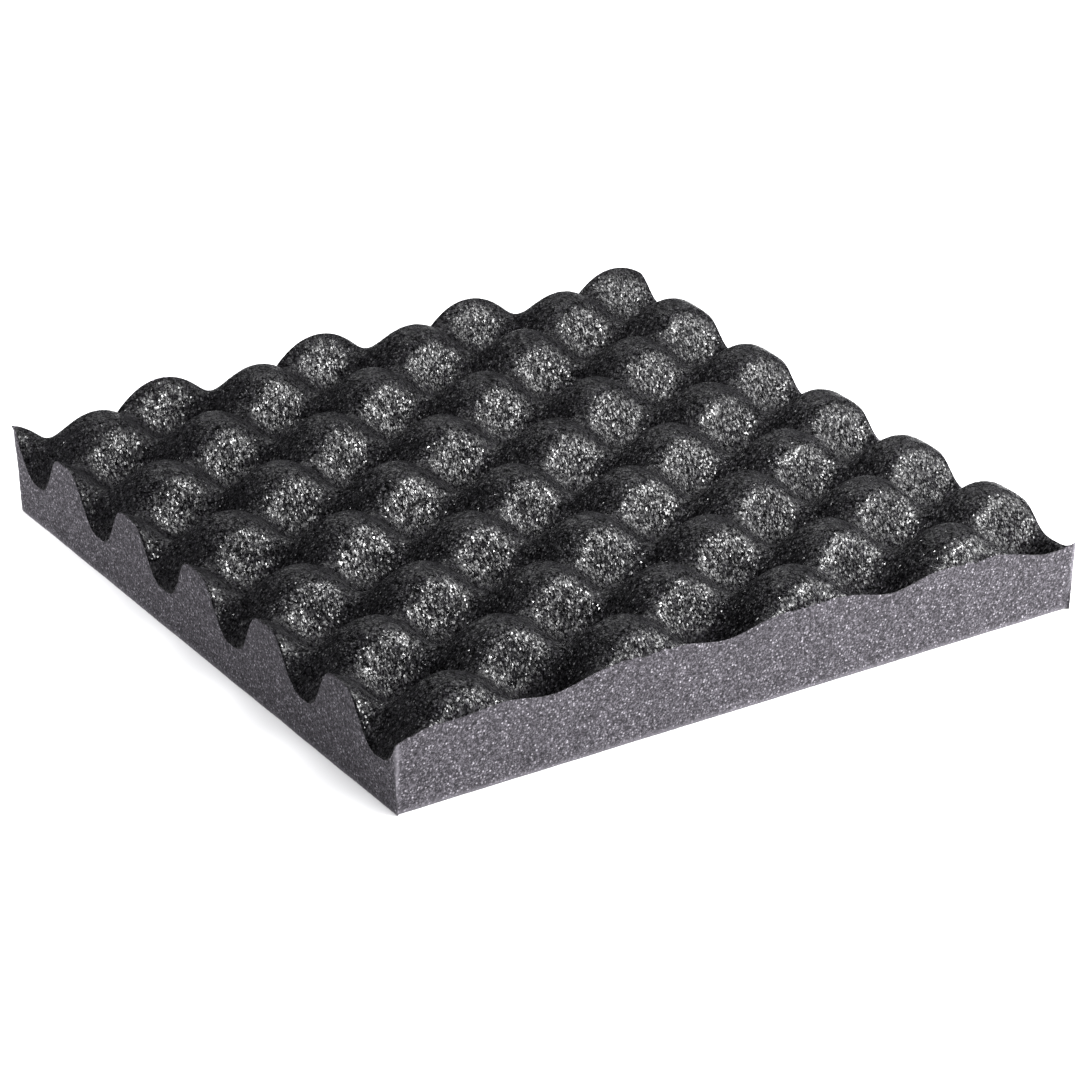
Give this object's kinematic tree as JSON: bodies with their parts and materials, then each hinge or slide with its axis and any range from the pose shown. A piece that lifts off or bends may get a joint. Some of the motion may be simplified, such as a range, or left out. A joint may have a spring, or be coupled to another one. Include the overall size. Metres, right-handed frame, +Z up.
{
  "type": "convoluted foam sheet",
  "caption": "Square egg-crate foam sheet with staggered rounded bumps on a textured top skin, cut sides and a flat underside.",
  "frame": {"origin": "middle of the flat underside", "axes": "+Z up out of the bumps, +X left to right along one cut side, +Y front to back along the other"},
  "size_m": [0.3536, 0.3568, 0.0528],
  "materials": {
    "open_cell_foam": "matt charcoal open-cell foam with a fine pale speckle of cut cell walls",
    "textured_skin": "near-black creased foam skin with a satin sheen that glints on the slopes facing the light"
  },
  "bodies": {
    "root": {"foam_core": "open_cell_foam", "surface_skin": "textured_skin"}
  },
  "joints": []
}
